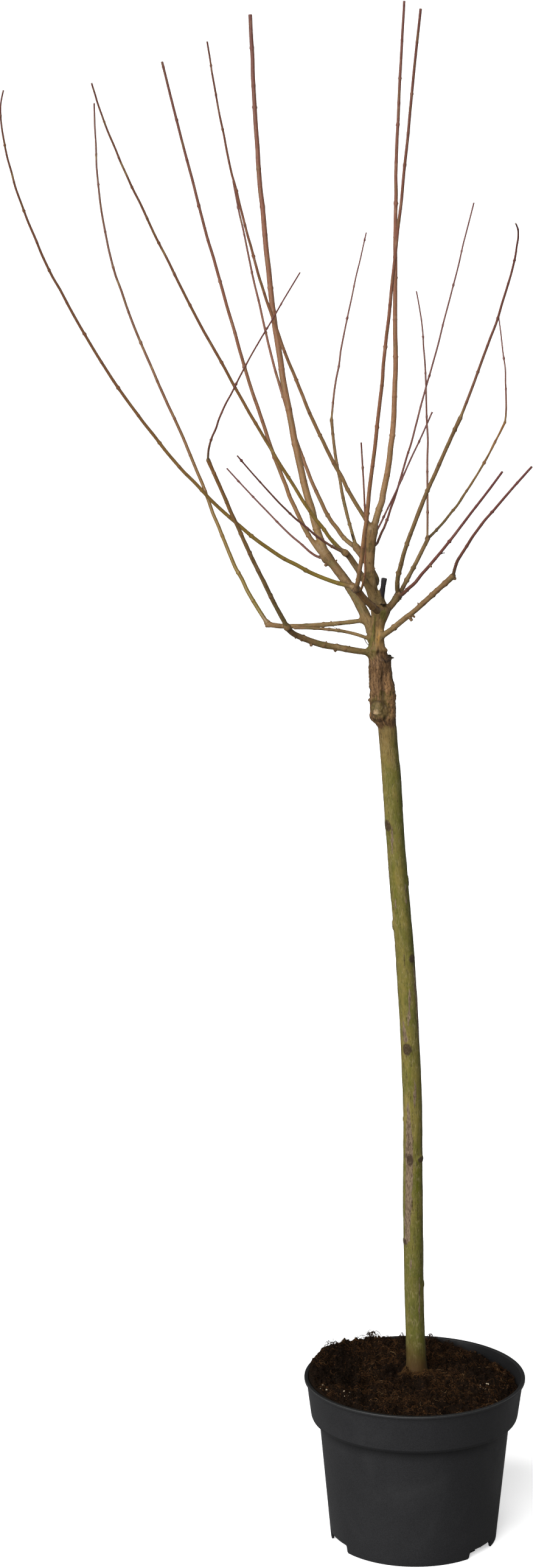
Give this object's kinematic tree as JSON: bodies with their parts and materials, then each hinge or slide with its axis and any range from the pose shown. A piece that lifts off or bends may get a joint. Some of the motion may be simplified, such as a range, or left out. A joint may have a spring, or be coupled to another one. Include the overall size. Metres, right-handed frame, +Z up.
{
  "type": "potted dappled willow standard",
  "caption": "Young grafted standard willow in winter: a bare stem with a leafless crown of long upright shoots, in a round plastic nursery pot of compost.",
  "frame": {"origin": "centre of the pot's flat underside", "axes": "+Z up along the stem, -Y towards the viewer of the picture, +X to that viewer's right"},
  "size_m": [0.5216, 0.4816, 1.6162],
  "materials": {
    "pot": "matte, fine grained",
    "compost": "loose and fibrous",
    "trunk_bark": "olive bark with fine fissures",
    "bough_bark": "grey-brown bark",
    "shoot_bark": "smooth young bark"
  },
  "bodies": {
    "root": {"pot": "pot", "compost": "compost", "trunk": "trunk_bark", "centre_bough": "bough_bark", "leader_stub": "bough_bark", "left_bough": "bough_bark", "front_bough": "bough_bark", "inner_bough": "bough_bark", "back_bough": "bough_bark", "right_bough": "bough_bark", "low_left_bough": "bough_bark", "low_right_bough": "bough_bark", "level_left_bough": "bough_bark", "level_left_spur": "bough_bark", "right_outer_bough": "bough_bark", "right_inner_bough": "bough_bark", "low_left_riser": "bough_bark", "back_riser": "bough_bark", "right_back_riser": "bough_bark", "shoot_left_stout": "shoot_bark", "shoot_left_tall": "shoot_bark", "shoot_left_low": "shoot_bark", "shoot_front_tall": "shoot_bark", "shoot_front_left": "shoot_bark", "shoot_front_short": "shoot_bark", "shoot_centre_tall": "shoot_bark", "shoot_crossing": "shoot_bark", "shoot_centre_back": "shoot_bark", "shoot_centre_short": "shoot_bark", "shoot_back_tall": "shoot_bark", "shoot_back_thin": "shoot_bark", "shoot_wide_left": "shoot_bark", "shoot_inner_short": "shoot_bark", "shoot_outer_left": "shoot_bark", "shoot_thin_crossing": "shoot_bark", "shoot_right_tall": "shoot_bark", "shoot_right_low": "shoot_bark", "shoot_right_upright": "shoot_bark", "shoot_right_back": "shoot_bark", "shoot_far_right": "shoot_bark"}
  },
  "joints": []
}
